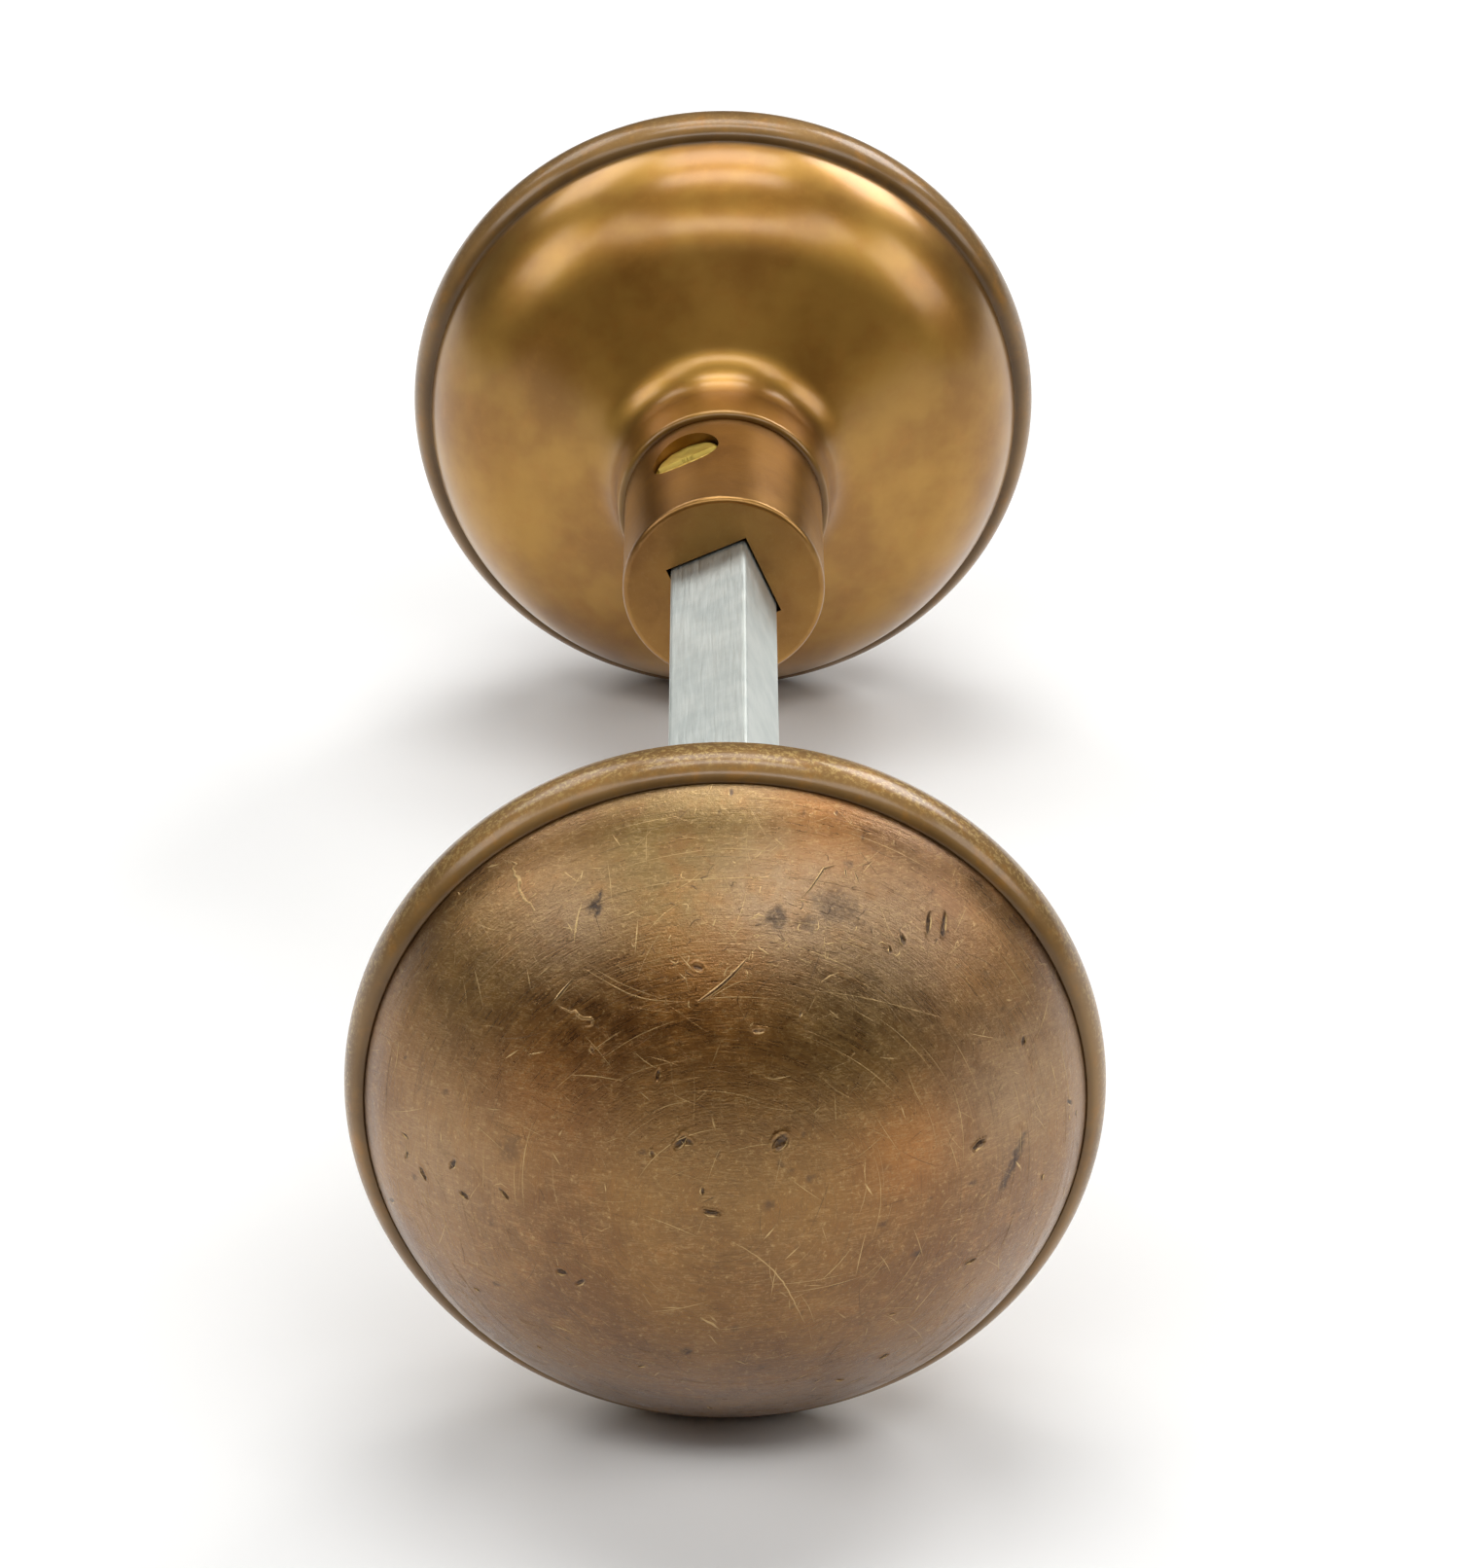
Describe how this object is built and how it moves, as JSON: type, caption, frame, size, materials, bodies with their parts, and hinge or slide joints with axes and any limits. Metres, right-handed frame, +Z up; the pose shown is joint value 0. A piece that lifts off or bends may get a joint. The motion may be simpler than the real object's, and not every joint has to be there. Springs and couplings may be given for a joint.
{
  "type": "door knob pair on a spindle",
  "caption": "Pair of domed round sheet brass door knobs with rolled rim beads and turned shanks, held by slotted set screws on a plain square zinc-plated spindle.",
  "frame": {"origin": "middle of the square spindle, on its axis, which is also the centre of the whole pair", "axes": "+Y along the spindle from the front knob to the rear knob, +Z up, +X to the right seen from the front knob; the spindle's flats are turned 24 degrees about +Y"},
  "size_m": [0.0572, 0.1644, 0.0572],
  "materials": {
    "brass_face": "worn satin with brown patina",
    "brass_back": "satin, golden",
    "brass_shank": "turned, dull",
    "brass_screw": "bright, worn",
    "plain_steel": "mill",
    "zinc": "zinc plated"
  },
  "bodies": {
    "spindle_body": {"spindle": "zinc"},
    "front_knob": {"front_face_shell": "brass_face", "front_back_shell": "brass_back", "front_shank": "brass_shank", "front_core_plate": "plain_steel", "front_rivet_washer": "plain_steel"},
    "rear_knob": {"rear_face_shell": "brass_face", "rear_back_shell": "brass_back", "rear_shank": "brass_shank", "rear_core_plate": "plain_steel", "rear_rivet_washer": "plain_steel"},
    "front_screw": {"front_set_screw": "brass_screw"},
    "rear_screw": {"rear_set_screw": "brass_screw"}
  },
  "joints": [
    {"name": "front_knob_slide", "type": "slide", "parent": "spindle_body", "child": "front_knob", "axis": [0, -1, 0], "range_m": [-0.0048, 0.027]},
    {"name": "rear_knob_slide", "type": "slide", "parent": "spindle_body", "child": "rear_knob", "axis": [0, 1, 0], "range_m": [-0.0048, 0.027]},
    {"name": "front_screw_out", "type": "slide", "parent": "front_knob", "child": "front_screw", "axis": [-0.4067, 0, 0.9135], "range_m": [0, 0.0055]},
    {"name": "rear_screw_out", "type": "slide", "parent": "rear_knob", "child": "rear_screw", "axis": [-0.4067, 0, 0.9135], "range_m": [0, 0.0055]}
  ]
}
